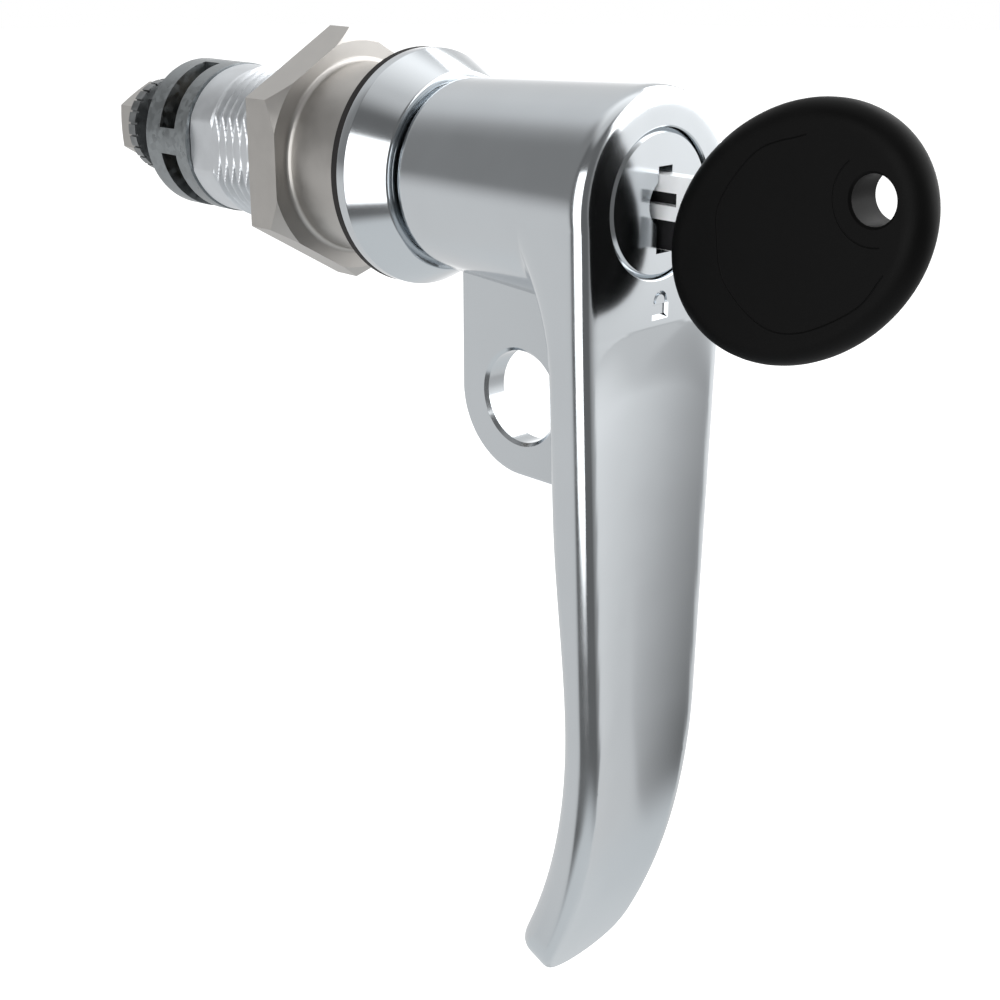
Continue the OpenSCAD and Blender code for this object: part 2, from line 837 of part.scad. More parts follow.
// clip that keeps the plug in its shell
module plug_clip() {
  color([0.35, 0.35, 0.36])
    plate_y(clip_y, clip_y + clip_t)
      difference() {
        circle(r = plug_r + 0.9);
        circle(r = plug_r - 0.8 + fit_gap);
        translate([-2, 0])
          square([4, plug_r + 2]);
      }
}

// driver behind the plug, with the pin that moves the bolt
module bolt_driver() {
  at = driver_throw * sin(45);
  color([0.62, 0.6, 0.56])
    union() {
      bar_y(driver_d / 2, plug_back, bolt_front - 2 * run_gap);
      plate_y(plug_back - 1.4 + fit_gap, plug_back + 0.1)
        square([driver_d * 0.6, 2 * plug_r - 1], center = true);
      translate([-at, 0, -at])
        bar_y(driver_pin_d / 2, bolt_front - 0.3, bolt_rear - 0.2);
    }
}

// bolt that the driver lifts into the flange
module locking_bolt() {
  at = driver_throw * sin(45);
  half = driver_pin_d / 2 + pin_play;
  color([0.58, 0.58, 0.58])
    plate_y(bolt_front, bolt_rear)
      difference() {
        intersection() {
          circle(r = bolt_top_r);
          translate([-bolt_w / 2, bolt_foot])
            square([bolt_w, bolt_top_r - bolt_foot + 1]);
        }
        hull() {
          for (x = [-driver_throw - 0.1, -at + 0.1])
            translate([x, -at])
              circle(r = half);
        }
      }
}

// black bow of the key
module key_bow() {
  edge = bow_t / 2;
  color([0.1, 0.1, 0.1])
    translate([0, key_front, -blade_drop])
      rotate([-bow_tilt, 0, 0])
        difference() {
          scale([1, bow_len / bow_w, 1])
            rotate([0, 90, 0])
              rotate_extrude()
                polygon(concat(
                  [[0, -edge], [bow_w / 2 - edge, -edge]],
                  arc(bow_w / 2 - edge, 0, edge, -75, 75, 10),
                  [[bow_w / 2 - edge, edge], [0, edge]]
                ));
          translate([0, -ring_hole_at, -ring_hole_drop])
            rotate([0, 90, 0])
              cylinder(d = ring_hole_d, h = bow_t + 2, center = true);
          rotate([bow_tilt, 0, 0])
            translate([blade_side, 0, 0])
              plate_x(blade_t + 2 * fit_gap)
                translate([-blade_hold - fit_gap, -blade_h / 2 - fit_gap])
                  square([blade_hold + bow_len, blade_h + 2 * fit_gap]);
        }
}

// outline of the blade from inside the bow to the end of the keyway, drawn in Y and Z
module blade_outline() {
  low = -blade_h / 2;
  front = -blade_hold;
  rear = bow_reach + blade_len;
  tip = 2;
  polygon([
    [front, low], [rear - tip, low], [rear, low + tip], [rear, -low], [front, -low]
  ]);
}

// grooved blade of the key
module key_blade() {
  color([0.72, 0.7, 0.64])
    translate([blade_side, key_front, -blade_drop])
      difference() {
        plate_x(blade_t)
          blade_outline();
        for (band = [[-0.56, 0.48], [0.11, 0.17]])
          translate([-blade_t / 2 - 1, bow_reach - groove_reach, band[0] * blade_h])
            cube([1 + blade_groove, blade_len + groove_reach + 1, band[1] * blade_h]);
        for (i = [0 : wafer_count - 1])
          translate([0, wafer_y(i) + wafer_t / 2 - key_front, blade_h / 2])
            rotate([0, 90, 0])
              cylinder(r = 0.9 + 0.3 * (i % 3), h = blade_t + 1, center = true, $fn = 4);
      }
}

handle();
housing();
gasket();
clamp_nut();
thrust_washer();
barrel_bush();
spindle();
cross_pin();
seal_ring();
stop_sleeve();
retaining_ring();
lock_washer();
cam_screw();
lock_shell();
lock_plug();
wafers();
wafer_springs();
plug_clip();
bolt_driver();
locking_bolt();
key_bow();
key_blade();
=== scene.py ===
"""L-handle cam latch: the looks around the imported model.

Sizes are in mm, apart from those of the lights and the floor, which are in m.
"""

import math

import bmesh
import bpy
import numpy as np
from mathutils import Matrix, Vector


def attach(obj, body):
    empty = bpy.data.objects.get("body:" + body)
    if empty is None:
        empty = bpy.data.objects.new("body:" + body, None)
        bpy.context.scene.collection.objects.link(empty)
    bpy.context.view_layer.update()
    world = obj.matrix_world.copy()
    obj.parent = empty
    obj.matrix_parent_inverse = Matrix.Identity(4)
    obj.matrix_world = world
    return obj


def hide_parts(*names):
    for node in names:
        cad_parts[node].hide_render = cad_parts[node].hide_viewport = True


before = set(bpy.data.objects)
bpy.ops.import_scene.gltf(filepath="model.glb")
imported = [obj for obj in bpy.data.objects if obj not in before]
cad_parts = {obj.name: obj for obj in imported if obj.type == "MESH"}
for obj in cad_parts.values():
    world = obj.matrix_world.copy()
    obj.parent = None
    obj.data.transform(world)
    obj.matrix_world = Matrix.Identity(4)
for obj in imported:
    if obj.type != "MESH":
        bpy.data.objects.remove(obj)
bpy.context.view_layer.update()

MM = 0.001
SHARP_ANGLE = math.radians(35.0)
SOFT_EDGE_WIDTH = 1.65
NORMAL_STEP = 0.1
ON_SURFACE = 0.004
SAME_WAY = 0.9
THROUGH = 1.0

# Sizes that the solids have too. HUB_REAR_EDGE, LEVER_LEN and DISH_RUN are a little smaller here.
FACE_Y = -37.9
HEAD_R = 12.5
HUB_R = 11.0
HUB_REAR = -7.2
HUB_REAR_EDGE = 1.6
FACE_EDGE_R = 1.75
LEVER_LEN = 102.1
LEVER_T = 5.4
LEVER_BACK_R = 2.2
LEVER_TAPER = 0.043
LEVER_LEAN = math.radians(0.5)
BEND_START = 60.0
BEND_R = 76.5
TIP_LEN = 8.0
BLEND_R = 13.0
BLEND_TOP = 18.0
ROOT_T = 1.2
ROOT_RUN = 26.0
DISH_TOP = 13.4
DISH_RUN = 7.4
DISH_DEPTH = 1.1
EYE_T = 3.4
EYE_D = 11.2
EYE_CHAMFER = 0.4
EYE_AT = (-18.7, -25.0)
EYE_PLATE_R = 9.7
LOCK_BORE_R = 8.1
LOCK_SEAT = -16.1
CLIP_BORE_R = 7.6
WEB_Y = -13.1
DRIVER_BORE_R = 3.05
BOLT_SLOT = ((-3.05, -5.65, -5.05), (3.05, -3.65, 12.2))
NECK_R = 10.25
NECK_REAR = -3.1
JOURNAL_R = 7.5
JOURNAL_END = 14.0
SEAL_GROOVE = (6.17, 2.7, 4.3)
DRIVE_POCKET = ((-3.93, 1.9, -3.93), (3.93, 15.0, 3.93))
PIN_HOLE = (1.28, 8.4)
FLANGE_R = 14.0
FLANGE_FRONT_R = 11.6
FLANGE_REAR = -0.9
FLANGE_RIM = -2.3
FLANGE_FRONT = -7.0
NECK_BORE_R = 10.3
MOUTH_R = 10.65
MOUTH_Y = -6.1
RECESS_Y = -2.6
BARREL_R = 10.0
BARREL_BORE_R = 7.55
FLATS_HALF = 9.1
THREAD_PITCH = 1.5
THREAD_END = 29.6
NOSE_R = 9.68
BARREL_END = 34.9
STOP_R = 8.15
STOP_END = 36.3
STOP_ANGLES = (-70.5, 160.5)
NOTCH = ((-3.15, -5.7, 5.0), (3.15, -3.6, 11.45))
BOW_MIDDLE = (0.0, -55.5, -0.9)
BOW_HALF = (16.3, 12.5)
BOW_T = 4.6
BOW_TILT = math.radians(33.0)
RING_HOLE = (-10.85, -1.2, 2.5)
GROOVES = ((-4.94, -1.6), (0.03, 1.37))
BLADE_SLOT = ((-0.38, -4.03, -4.13), (1.68, 20.0, 4.13))

# Details of the handle's meshes
HANDLE_BOX = ((-13.5, -39.5, -104.5), (13.5, -6.0, 13.5))
HANDLE_CELL = 0.4
SIDE_INSET = 0.05
SIDE_DRAFT = 0.05
TIP_INSET = 0.8
INSET_START = 74.0
EDGE_LOSS = 0.9
EDGE_START = 70.0
FADE_RUN = 26.0
BACK_R_GAIN = 0.6
BACK_R_SHARE = 0.45
DISH_BOW = 3.0
JOIN_SOFT = 2.2
JOIN_START = 4.0
JOIN_DROP = 7.0
JOIN_BACK = 4.0
BORE_CHAMFER = 0.15
BORE_END = -6.0
EYE_SIDES = 240
EYE_TOP = -6.0
EYE_FRONT_GAP = 3.0
EYE_EDGE_R = 0.3
EYE_EDGE_MID = 0.09
EYE_EDGE_KEEP = 0.5
EYE_LIP_KEEP = 0.1
KEEL_Y = (-8.6, -31.0)
KEEL_ROWS = 9
KEEL_LOW = -10.85
KEEL_FALL = 0.065
KEEL_INSET = 0.01
SIGN_DEPTH = 0.4
SIGN_BODY = (-1.1, 2.0, -12.98, -10.65)
SIGN_BODY_FLOOR = (-0.7, 1.55, -12.08, -11.0)
SHACKLE_AT = (0.4, -10.45)
SHACKLE_OVER = 0.25
SHACKLE_STEPS = 25
SHACKLE_RIM = ((1.25, 1.2), (0.55, 0.5))
SHACKLE_FLOOR = ((0.98, 0.93), (0.82, 0.77))
NECK_LAP = 0.6
JOURNAL_EDGES = (0, 0, 0.2, 0, 0.1, 0, 0, 0.1, 0.4, 0)
DRIVER_CUT = (-9.0, -5.6)
PIN_REACH = 9.0

# Details of the meshes of the housing and the key
FLANGE_EDGES = (0, 0.12, 0.35, 0.4, 0.08, 0, 0, 0, 0)
THREAD_DEPTH = 0.9
THREAD_FADE = (0.2, 0.9)
GROOVE_TOP = 0.9
GROOVE_SLANT = 0.82
FLAT_SOFT = 0.12
NOSE_STEP = 0.5
END_CHAMFER = 0.35
END_SLANT = 0.9
BARREL_START = -1.5
BARREL_SIDES = 120
NEAR_FLAT = (0.28, 1.12, 30)
RING_STEP = 0.115
THREAD_RUNOUT = 0.8
NOSE_RINGS = (1.2, 0.4, 8)
CHAMFER_RINGS = 3
CRESCENT_STEPS = 49
CRESCENT_LAP = 0.1
BOW_BOX = ((-2.8, -73.5, -18.5), (2.8, -37.5, 16.5))
BOW_CELL = 0.45
BOW_FLAT = 0.08
RING_CHAMFER = 0.25
PANEL_LINE = ((-7.2, 7.6), (-1.2, 8.9), (5.2, 6.7), (7.6, 3.4), (8.9, -0.9),
              (6.9, -6.4), (2.8, -9.0), (-4.2, -9.5), (-8.6, -7.9))
BOSS_LINE = (4.45, -1.25, 1.45, 30)
LINE_R = 0.08
GROOVE_FLOOR = (0.69, 0.74, -39.45, -18.0)

# Camera and light
CAMERA_AT = (-136.70, -150.68, 30.53)
CAMERA_TURN = (math.radians(44.954), math.radians(19.926), 0.002)
CAMERA_LENS = 59.79
CAMERA_NEAR = 0.01
REAR_WAY = (0.616, 0.788)
RIGHT_WAY = (0.940, 0.342)
OVERHEAD = (0.84, 0.85, 0.86)
GROUND = (0.78, 0.80, 0.81)
BACKDROP = (1.0, 1.0, 1.0)
LIGHT_AIM = (0.0, -0.02, -0.04)
FLOOR_R = 6.0
FLOOR_Z = -0.4
FLOOR_GREY = (0.5, 0.5, 0.5, 1.0)
FLOOR_GLOW = 0.85


# Small helpers

def ramp(u):
    """Smooth step from 0 to 1."""
    c = np.clip(u, 0.0, 1.0)
    return c * c * (3.0 - 2.0 * c)


def corner(a, b, r):
    """Joins two distances into a solid's corner that is rounded with radius r."""
    qa, qb = a + r, b + r
    return np.minimum(np.maximum(qa, qb), 0.0) + np.hypot(np.maximum(qa, 0.0), np.maximum(qb, 0.0)) - r


def soft_corner(a, b, r):
    """Intersection of two distances with an edge whose curvature begins and ends gently."""
    k = SOFT_EDGE_WIDTH * r
    h = np.maximum(k - np.abs(a - b), 0.0) / k
    return np.maximum(a, b) + h ** 3 * k / 6.0


def soft_union(a, b, k):
    """Union of two distances that is softened over a width k, which may vary."""
    k = np.maximum(k, 1e-6)
    h = np.maximum(k - np.abs(a - b), 0.0) / k
    return np.minimum(a, b) - h * h * k * 0.25


# Meshes from distance fields

def slope(field, points, step=0.02):
    """Gradient of a field by central differences."""
    out = np.empty_like(points)
    for axis in range(3):
        shift = np.zeros(3)
        shift[axis] = step
        out[:, axis] = (field(points + shift) - field(points - shift)) / (2.0 * step)
    return out


def settle(field, points, rounds, limit):
    """Moves points onto the surface where the field is zero."""
    for _ in range(rounds):
        g = slope(field, points)
        move = g * (field(points) / np.maximum((g * g).sum(1), 1e-4))[:, None]
        length = np.linalg.norm(move, axis=1, keepdims=True)
        points = points - move * np.minimum(1.0, limit / np.maximum(length, 1e-9))
    return points


def relax(points, quads):
    """Moves each point to the middle of its neighbours."""
    edges = np.concatenate([quads[:, [i, (i + 1) % 4]] for i in range(4)])
    edges = np.concatenate([edges, edges[:, ::-1]])
    count = np.bincount(edges[:, 0], minlength=len(points))
    sums = [np.bincount(edges[:, 0], points[edges[:, 1], a], len(points)) for a in range(3)]
    return np.stack(sums, 1) / count[:, None]


def surface_net(field, low, high, cell):
    """Points and quads of the surface where the field is zero, from a grid of cells."""
    low, high = np.array(low, float), np.array(high, float)
    count = np.ceil((high - low) / cell).astype(int) + 1
    axes = [low[a] + cell * np.arange(count[a]) for a in range(3)]
    value = field(np.stack(np.meshgrid(*axes, indexing="ij"), -1))
    inside = value < 0.0
    cells = tuple(count - 1)
    total, hits = np.zeros(cells + (3,)), np.zeros(cells)
    for axis in range(3):
        others = [a for a in range(3) if a != axis]
        for step in ((0, 0), (0, 1), (1, 0), (1, 1)):
            start = [0, 0, 0]
            start[others[0]], start[others[1]] = step
            near = tuple(slice(start[a], start[a] + cells[a]) for a in range(3))
            start[axis] += 1
            far = tuple(slice(start[a], start[a] + cells[a]) for a in range(3))
            cross = inside[near] != inside[far]
            gap = np.where(cross, value[near] - value[far], 1.0)
            total[..., axis] += np.where(cross, value[near] / gap, 0.0)
            for a, s in zip(others, step):
                total[..., a] += np.where(cross, s, 0.0)
            hits += cross
    used = hits > 0
    number = np.full(cells, -1)
    number[used] = np.arange(used.sum())
    points = low + (np.argwhere(used) + total[used] / hits[used][:, None]) * cell
    quads = []
    for axis in range(3):
        b, c = [(axis + 1) % 3, (axis + 2) % 3]
        near, far = [slice(None)] * 3, [slice(None)] * 3
        near[axis], far[axis] = slice(0, -1), slice(1, None)
        for outward in (True, False):
            first, second = inside[tuple(near)], inside[tuple(far)]
            at = np.argwhere(first & ~second if outward else second & ~first)
            at = at[(at[:, b] > 0) & (at[:, c] > 0)]
            ring = []
            for db, dc in ((1, 1), (0, 1), (0, 0), (1, 0)):
                cell_at = at.copy()
                cell_at[:, b] -= db
                cell_at[:, c] -= dc
                ring.append(number[tuple(cell_at.T)])
            quads.append(np.stack(ring if outward else ring[::-1], 1))
    return points, np.concatenate(quads)


def add_mesh(name, points, faces):
    """New object from points in mm and faces."""
    mesh = bpy.data.meshes.new(name)
    mesh.from_pydata((np.asarray(points) * MM).tolist(), [], [list(map(int, f)) for f in faces])
    mesh.polygons.foreach_set("use_smooth", [True] * len(mesh.polygons))
    mesh.update()
    piece = bpy.data.objects.new(name, mesh)
    bpy.context.scene.collection.objects.link(piece)
    return piece


def field_mesh(name, field, low, high, cell):
    """Smooth mesh of a distance field."""
    points, quads = surface_net(field, low, high, cell)
    points = settle(field, points, 4, cell * 0.5)
    for _ in range(3):
        points = settle(field, 0.5 * (points + relax(points, quads)), 3, cell * 0.5)
    return add_mesh(name, points, quads)


def box(name, low, high):
    """Block between two corners."""
    (a, b, c), (d, e, f) = low, high
    points = [(a, b, c), (d, b, c), (d, e, c), (a, e, c), (a, b, f), (d, b, f), (d, e, f), (a, e, f)]
    faces = [(0, 3, 2, 1), (4, 5, 6, 7), (0, 1, 5, 4), (1, 2, 6, 5), (2, 3, 7, 6), (3, 0, 4, 7)]
    return add_mesh(name, points, faces)


def tidy_mesh(piece):
    """Joins points that coincide and turns all faces outward."""
    work = bmesh.new()
    work.from_mesh(piece.data)
    bmesh.ops.remove_doubles(work, verts=work.verts, dist=1e-7)
    bmesh.ops.dissolve_degenerate(work, edges=work.edges, dist=1e-8)
    bmesh.ops.recalc_face_normals(work, faces=work.faces)
    work.to_mesh(piece.data)
    work.free()
    return piece


def prism(name, outline, depth, end=None):
    """Plate with an outline in X and Z between two places along Y. Its end can have its own outline."""
    n = len(outline)
    points = [(x, depth[0], z) for x, z in outline] + [(x, depth[1], z) for x, z in end or outline]
    sides = [(i, (i + 1) % n, n + (i + 1) % n, n + i) for i in range(n)]
    return tidy_mesh(add_mesh(name, points, [tuple(range(n)), tuple(range(n, 2 * n))] + sides))


def tube(name, path, radius, sides=8):
    """Round bar along a path of points."""
    path = np.array(path, float)
    along = np.gradient(path, axis=0)
    along /= np.linalg.norm(along, axis=1, keepdims=True)
    first = np.cross(along, (1.0, 0.0, 0.0))
    first /= np.linalg.norm(first, axis=1, keepdims=True)
    second = np.cross(along, first)
    a = np.linspace(0.0, 2.0 * math.pi, sides, endpoint=False)[None, :, None]
    points = path[:, None] + radius * (np.cos(a) * first[:, None] + np.sin(a) * second[:, None])
    n, m = len(path), sides
    faces = [(i * m + j, i * m + (j + 1) % m, (i + 1) * m + (j + 1) % m, (i + 1) * m + j)
             for i in range(n - 1) for j in range(m)]
    ends = [tuple(range(m)), tuple(range((n - 1) * m, n * m))]
    return tidy_mesh(add_mesh(name, points.reshape(-1, 3), faces + ends))


def grid_faces(rows, columns):
    """Quads of a grid of points that closes on itself both ways."""
    i, j = np.meshgrid(np.arange(rows), np.arange(columns), indexing="ij")
    k, m = (i + 1) % rows, (j + 1) % columns
    ring = [i * columns + j, i * columns + m, k * columns + m, k * columns + j]
    return np.stack(ring, -1).reshape(-1, 4)


def lathe(name, profile, turns=128, middle=(0.0, 0.0, 0.0), axis="Y"):
    """Turned mesh from a closed profile of (radius, place along the axis)."""
    profile = np.array(profile, float)
    a = np.linspace(0.0, 2.0 * math.pi, turns, endpoint=False)
    r, t = profile[:, 0][None, :], profile[:, 1][None, :]
    c, s = np.cos(a)[:, None] * r, np.sin(a)[:, None] * r
    t = np.broadcast_to(t, c.shape)
    xyz = (c, t, s) if axis == "Y" else (t, s, c)
    points = np.stack(xyz, -1).reshape(-1, 3) + np.array(middle)
    return tidy_mesh(add_mesh(name, points, grid_faces(turns, len(profile))))


def rod(name, radius, start, end, turns):
    """Round bar along Y."""
    return lathe(name, [(0.0, start), (radius, start), (radius, end), (0.0, end)], turns)


def rounded(points, radii, steps=5):
    """Profile whose corners are rounded with the radius given for each point."""
    points = [np.array(p, float) for p in points]
    out = []
    for i, (p, r) in enumerate(zip(points, radii)):
        if r == 0.0:
            out.append(tuple(p))
            continue
        a, b = points[i - 1] - p, points[(i + 1) % len(points)] - p
        a, b = a / np.linalg.norm(a), b / np.linalg.norm(b)
        half = math.acos(float(np.clip(a @ b, -1.0, 1.0))) / 2.0
        reach = r / math.tan(half)
        middle = p + (a + b) / np.linalg.norm(a + b) * r / math.sin(half)
        start, end = p + a * reach - middle, p + b * reach - middle
        sweep = math.pi - 2.0 * half
        for k in range(steps + 1):
            u = k / steps
            spot = (math.sin((1.0 - u) * sweep) * start + math.sin(u * sweep) * end) / math.sin(sweep)
            out.append(tuple(middle + spot))
    return out


# The handle

def lever_place(y, z):
    """Length along the lever's front, and depth behind it, of points in the Y and Z plane."""
    down = np.array([-math.sin(LEVER_LEAN), -math.cos(LEVER_LEAN)])
    back = np.array([math.cos(LEVER_LEAN), -math.sin(LEVER_LEAN)])
    top = np.array([FACE_Y, -DISH_TOP])
    along = (y - top[0]) * down[0] + (z - top[1]) * down[1]
    depth = (y - top[0]) * back[0] + (z - top[1]) * back[1]
    s = DISH_TOP + along
    upper = along < 0.0
    s, depth = np.where(upper, -z, s), np.where(upper, y - FACE_Y, depth)
    turn = top + (BEND_START - DISH_TOP) * down + BEND_R * back
    vy, vz = y - turn[0], z - turn[1]
    forward, inward = vy * down[0] + vz * down[1], -(vy * back[0] + vz * back[1])
    bent = s > BEND_START
    s = np.where(bent, BEND_START + BEND_R * np.arctan2(forward, inward), s)
    depth = np.where(bent, BEND_R - np.hypot(vy, vz), depth)
    return s, depth


def dish_at(x, s, half):
    """Depth of the lever's dished front, which begins along an arch across the lever."""
    u = np.minimum(np.abs(x) / np.maximum(half - FACE_EDGE_R, 0.5), 1.0)
    fade = 1.0 - ramp((s - BEND_START) / (LEVER_LEN - BEND_START))
    short = np.clip(1.0 - (s - DISH_TOP - DISH_BOW * u ** 4) / DISH_RUN, 0.0, 1.0)
    return DISH_DEPTH * fade * (1.0 - u * u) * (1.0 - short * short)


def lever_field(x, y, z):
    """Distance to the lever, whose back swells towards the hub."""
    s, depth = lever_place(y, z)
    swell = np.maximum(0.0, BLEND_TOP - np.maximum(s, 0.0)) ** 2 / (2.0 * BLEND_R)
    back = LEVER_T + ROOT_T * ramp((BEND_START - s) / ROOT_RUN) + swell
    half = HEAD_R - SIDE_INSET - LEVER_TAPER * np.clip(s, 0.0, LEVER_LEN)
    half = half - SIDE_DRAFT * np.clip(depth, 0.0, back)
    inset = TIP_INSET * ramp((s - INSET_START) / FADE_RUN)
    half = half - inset * (1.0 - np.clip(depth / back, 0.0, 1.0))
    tip = np.maximum(0.0, (s - LEVER_LEN + TIP_LEN) / TIP_LEN)
    level = (x / half) ** 2 + tip ** 3 - 1.0
    steep = np.hypot(2.0 * x / half ** 2, 3.0 * tip ** 2 / TIP_LEN)
    outline = level / np.maximum(steep, 0.05)
    front = dish_at(x, s, half) - depth
    edge = FACE_EDGE_R - EDGE_LOSS * ramp((s - EDGE_START) / FADE_RUN)
    front_side = soft_corner(outline, front, edge)
    back_r = np.minimum(LEVER_BACK_R + BACK_R_GAIN * swell, BACK_R_SHARE * back)
    back_side = corner(outline, depth - back, back_r)
    return np.maximum(np.maximum(front_side, back_side), -s)


def hub_field(x, y, z):
    """Distance to the hub, a cone with rounded edges."""
    rho = np.hypot(x, z)
    rise = (HEAD_R - HUB_R) / (HUB_REAR - FACE_Y)
    side = (rho - HUB_R - rise * (HUB_REAR - y)) / math.hypot(1.0, rise)
    front_edge = soft_corner(side, FACE_Y - y, FACE_EDGE_R)
    return np.maximum(front_edge, corner(side, y - HUB_REAR, HUB_REAR_EDGE))


def handle_field(p):
    """Distance to the cast handle, without its bores."""
    x, y, z = p[..., 0], p[..., 1], p[..., 2]
    depth = y - FACE_Y
    soft = JOIN_SOFT * ramp((-z - JOIN_START) / JOIN_DROP) * ramp((depth - JOIN_START) / JOIN_BACK)
    return soft_union(hub_field(x, y, z), lever_field(x, y, z), soft)


def cut(piece, cutter):
    """Takes a cutter out of a piece and removes the cutter."""
    step = piece.modifiers.new("cut", "BOOLEAN")
    step.operation = "DIFFERENCE"
    step.solver = "EXACT"
    step.object = cutter
    bpy.context.view_layer.update()
    graph = bpy.context.evaluated_depsgraph_get()
    mesh = bpy.data.meshes.new_from_object(piece.evaluated_get(graph))
    piece.modifiers.clear()
    piece.data = mesh
    bpy.data.objects.remove(cutter)


def add(piece, body, slot, *nodes):
    """Lets a piece ride on a body and hides the nodes it stands for. Its slot is not used."""
    piece.data.set_sharp_from_angle(angle=SHARP_ANGLE)
    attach(piece, body)
    if nodes:
        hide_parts(*nodes)
    return piece


def true_normals(piece, field):
    """Takes the shading of a cut field mesh from the field itself, away from the cuts."""
    mesh = piece.data
    points = np.empty(3 * len(mesh.vertices))
    mesh.vertices.foreach_get("co", points)
    points = points.reshape(-1, 3) / MM
    normals = slope(field, points, NORMAL_STEP)
    normals /= np.maximum(np.linalg.norm(normals, axis=1, keepdims=True), 1e-9)
    on_field = np.abs(field(points)) < ON_SURFACE
    corner_point = np.empty(len(mesh.loops), int)
    mesh.loops.foreach_get("vertex_index", corner_point)
    shaded = np.empty(3 * len(mesh.loops))
    mesh.corner_normals.foreach_get("vector", shaded)
    shaded = shaded.reshape(-1, 3)
    flat, count = np.empty(3 * len(mesh.polygons)), np.empty(len(mesh.polygons), int)
    mesh.polygons.foreach_get("normal", flat)
    mesh.polygons.foreach_get("loop_total", count)
    flat = np.repeat(flat.reshape(-1, 3), count, axis=0)
    exact = normals[corner_point]
    use = on_field[corner_point] & ((exact * flat).sum(1) > SAME_WAY)
    mesh.normals_split_custom_set(np.where(use[:, None], exact, shaded).tolist())


def make_handle():
    """Cast handle with hub, lever, lock bore and a padlock sign."""
    piece = field_mesh("cast_handle", handle_field, *HANDLE_BOX, HANDLE_CELL)
    lip, before = LOCK_BORE_R + BORE_CHAMFER, FACE_Y - THROUGH
    bore = [
        (0.0, before), (lip + THROUGH, before), (lip, FACE_Y), (LOCK_BORE_R, FACE_Y + BORE_CHAMFER),
        (LOCK_BORE_R, LOCK_SEAT), (CLIP_BORE_R, LOCK_SEAT), (CLIP_BORE_R, WEB_Y), (DRIVER_BORE_R, WEB_Y),
        (DRIVER_BORE_R, BORE_END), (0.0, BORE_END)]
    cut(piece, lathe("bore_cut", bore))
    for part in sign_cutters():
        cut(piece, part)
    add(piece, "handle", "handle_chrome", "handle")
    true_normals(piece, handle_field)
    return piece


def make_eye():
    """Plate with the padlock eye, with rounded outer edges and a chamfered hole."""
    angles = np.linspace(0.0, 2.0 * math.pi, EYE_SIDES, endpoint=False)
    c, d = np.cos(angles), np.sin(angles)
    front, rear = EYE_AT[0] - FACE_Y - EYE_FRONT_GAP, EYE_PLATE_R
    top, low = EYE_TOP - EYE_AT[1], EYE_PLATE_R
    across = np.where(c < 0.0, front / np.maximum(-c, 1e-6), rear / np.maximum(c, 1e-6))
    along = np.where(d < 0.0, low / np.maximum(-d, 1e-6), top / np.maximum(d, 1e-6))
    edge = np.where((c > 0.0) & (d < 0.0), EYE_PLATE_R, np.minimum(across, along))
    half, r = EYE_T / 2, EYE_D / 2
    lip, hole = r + EYE_CHAMFER + 0 * edge, r + 0 * edge
    loops = [
        (lip + EYE_LIP_KEEP, -half), (edge - EYE_EDGE_KEEP, -half), (edge - EYE_EDGE_R, -half),
        (edge - EYE_EDGE_MID, -half + EYE_EDGE_MID), (edge, -half + EYE_EDGE_R), (edge, half - EYE_EDGE_R),
        (edge - EYE_EDGE_MID, half - EYE_EDGE_MID), (edge - EYE_EDGE_R, half), (edge - EYE_EDGE_KEEP, half),
        (lip + EYE_LIP_KEEP, half), (lip, half), (hole, half - EYE_CHAMFER), (hole, EYE_CHAMFER - half),
        (lip, -half)]
    rings = [np.stack([0 * c + x, EYE_AT[0] + c * q, EYE_AT[1] + d * q], -1) for q, x in loops]
    points = np.stack(rings, 1)
    piece = add_mesh("eye_plate", points.reshape(-1, 3), grid_faces(*points.shape[:2]))
    return add(tidy_mesh(piece), "handle", "handle_chrome")


def make_keel():
    """Tangent faces below the hub, which run from its sides onto the padlock plate."""
    rows = []
    for y in np.linspace(*KEEL_Y, KEEL_ROWS):
        low = (-EYE_T / 2 + KEEL_INSET, KEEL_LOW + KEEL_FALL * y)
        reach = math.hypot(*low)
        hub = HUB_R + (HEAD_R - HUB_R) * (HUB_REAR - y) / (HUB_REAR - FACE_Y)
        a = math.acos(hub / reach) + math.atan2(-low[0], -low[1])
        side = (-hub * math.sin(a), -hub * math.cos(a))
        left = [(side[0], y, side[1]), (low[0], y, low[1])]
        rows.append(left + [(-p[0], p[1], p[2]) for p in left[::-1]])
    points = [p for row in rows for p in row]
    faces = [(4 * i + j, 4 * i + (j + 1) % 4, 4 * i + 4 + (j + 1) % 4, 4 * i + 4 + j)
             for i in range(len(rows) - 1) for j in range(4)]
    faces += [(0, 1, 2, 3), tuple(len(points) - 4 + j for j in range(4))]
    return add(tidy_mesh(add_mesh("hub_keel", points, faces)), "handle", "handle_chrome")


def shackle_arc(angles, radii):
    """Points of the sign's shackle along an oval."""
    (x, z), (a, b) = SHACKLE_AT, radii
    return [(x + a * math.cos(t), z + b * math.sin(t)) for t in angles]


def sign_cutters():
    """Shallow recesses of the padlock sign below the lock: its body and its shackle, with sloped walls."""
    depth = (FACE_Y - SIGN_DEPTH, FACE_Y + SIGN_DEPTH)
    bodies = [[(x0, z0), (x1, z0), (x1, z1), (x0, z1)] for x0, x1, z0, z1 in (SIGN_BODY, SIGN_BODY_FLOOR)]
    a = np.linspace(-SHACKLE_OVER, math.pi + SHACKLE_OVER, SHACKLE_STEPS)
    shackles = [shackle_arc(a, outer) + shackle_arc(a[::-1], inner)
                for outer, inner in (SHACKLE_RIM, SHACKLE_FLOOR)]
    return [prism("sign_body", bodies[0], depth, bodies[1]),
            prism("sign_shackle", shackles[0], depth, shackles[1])]


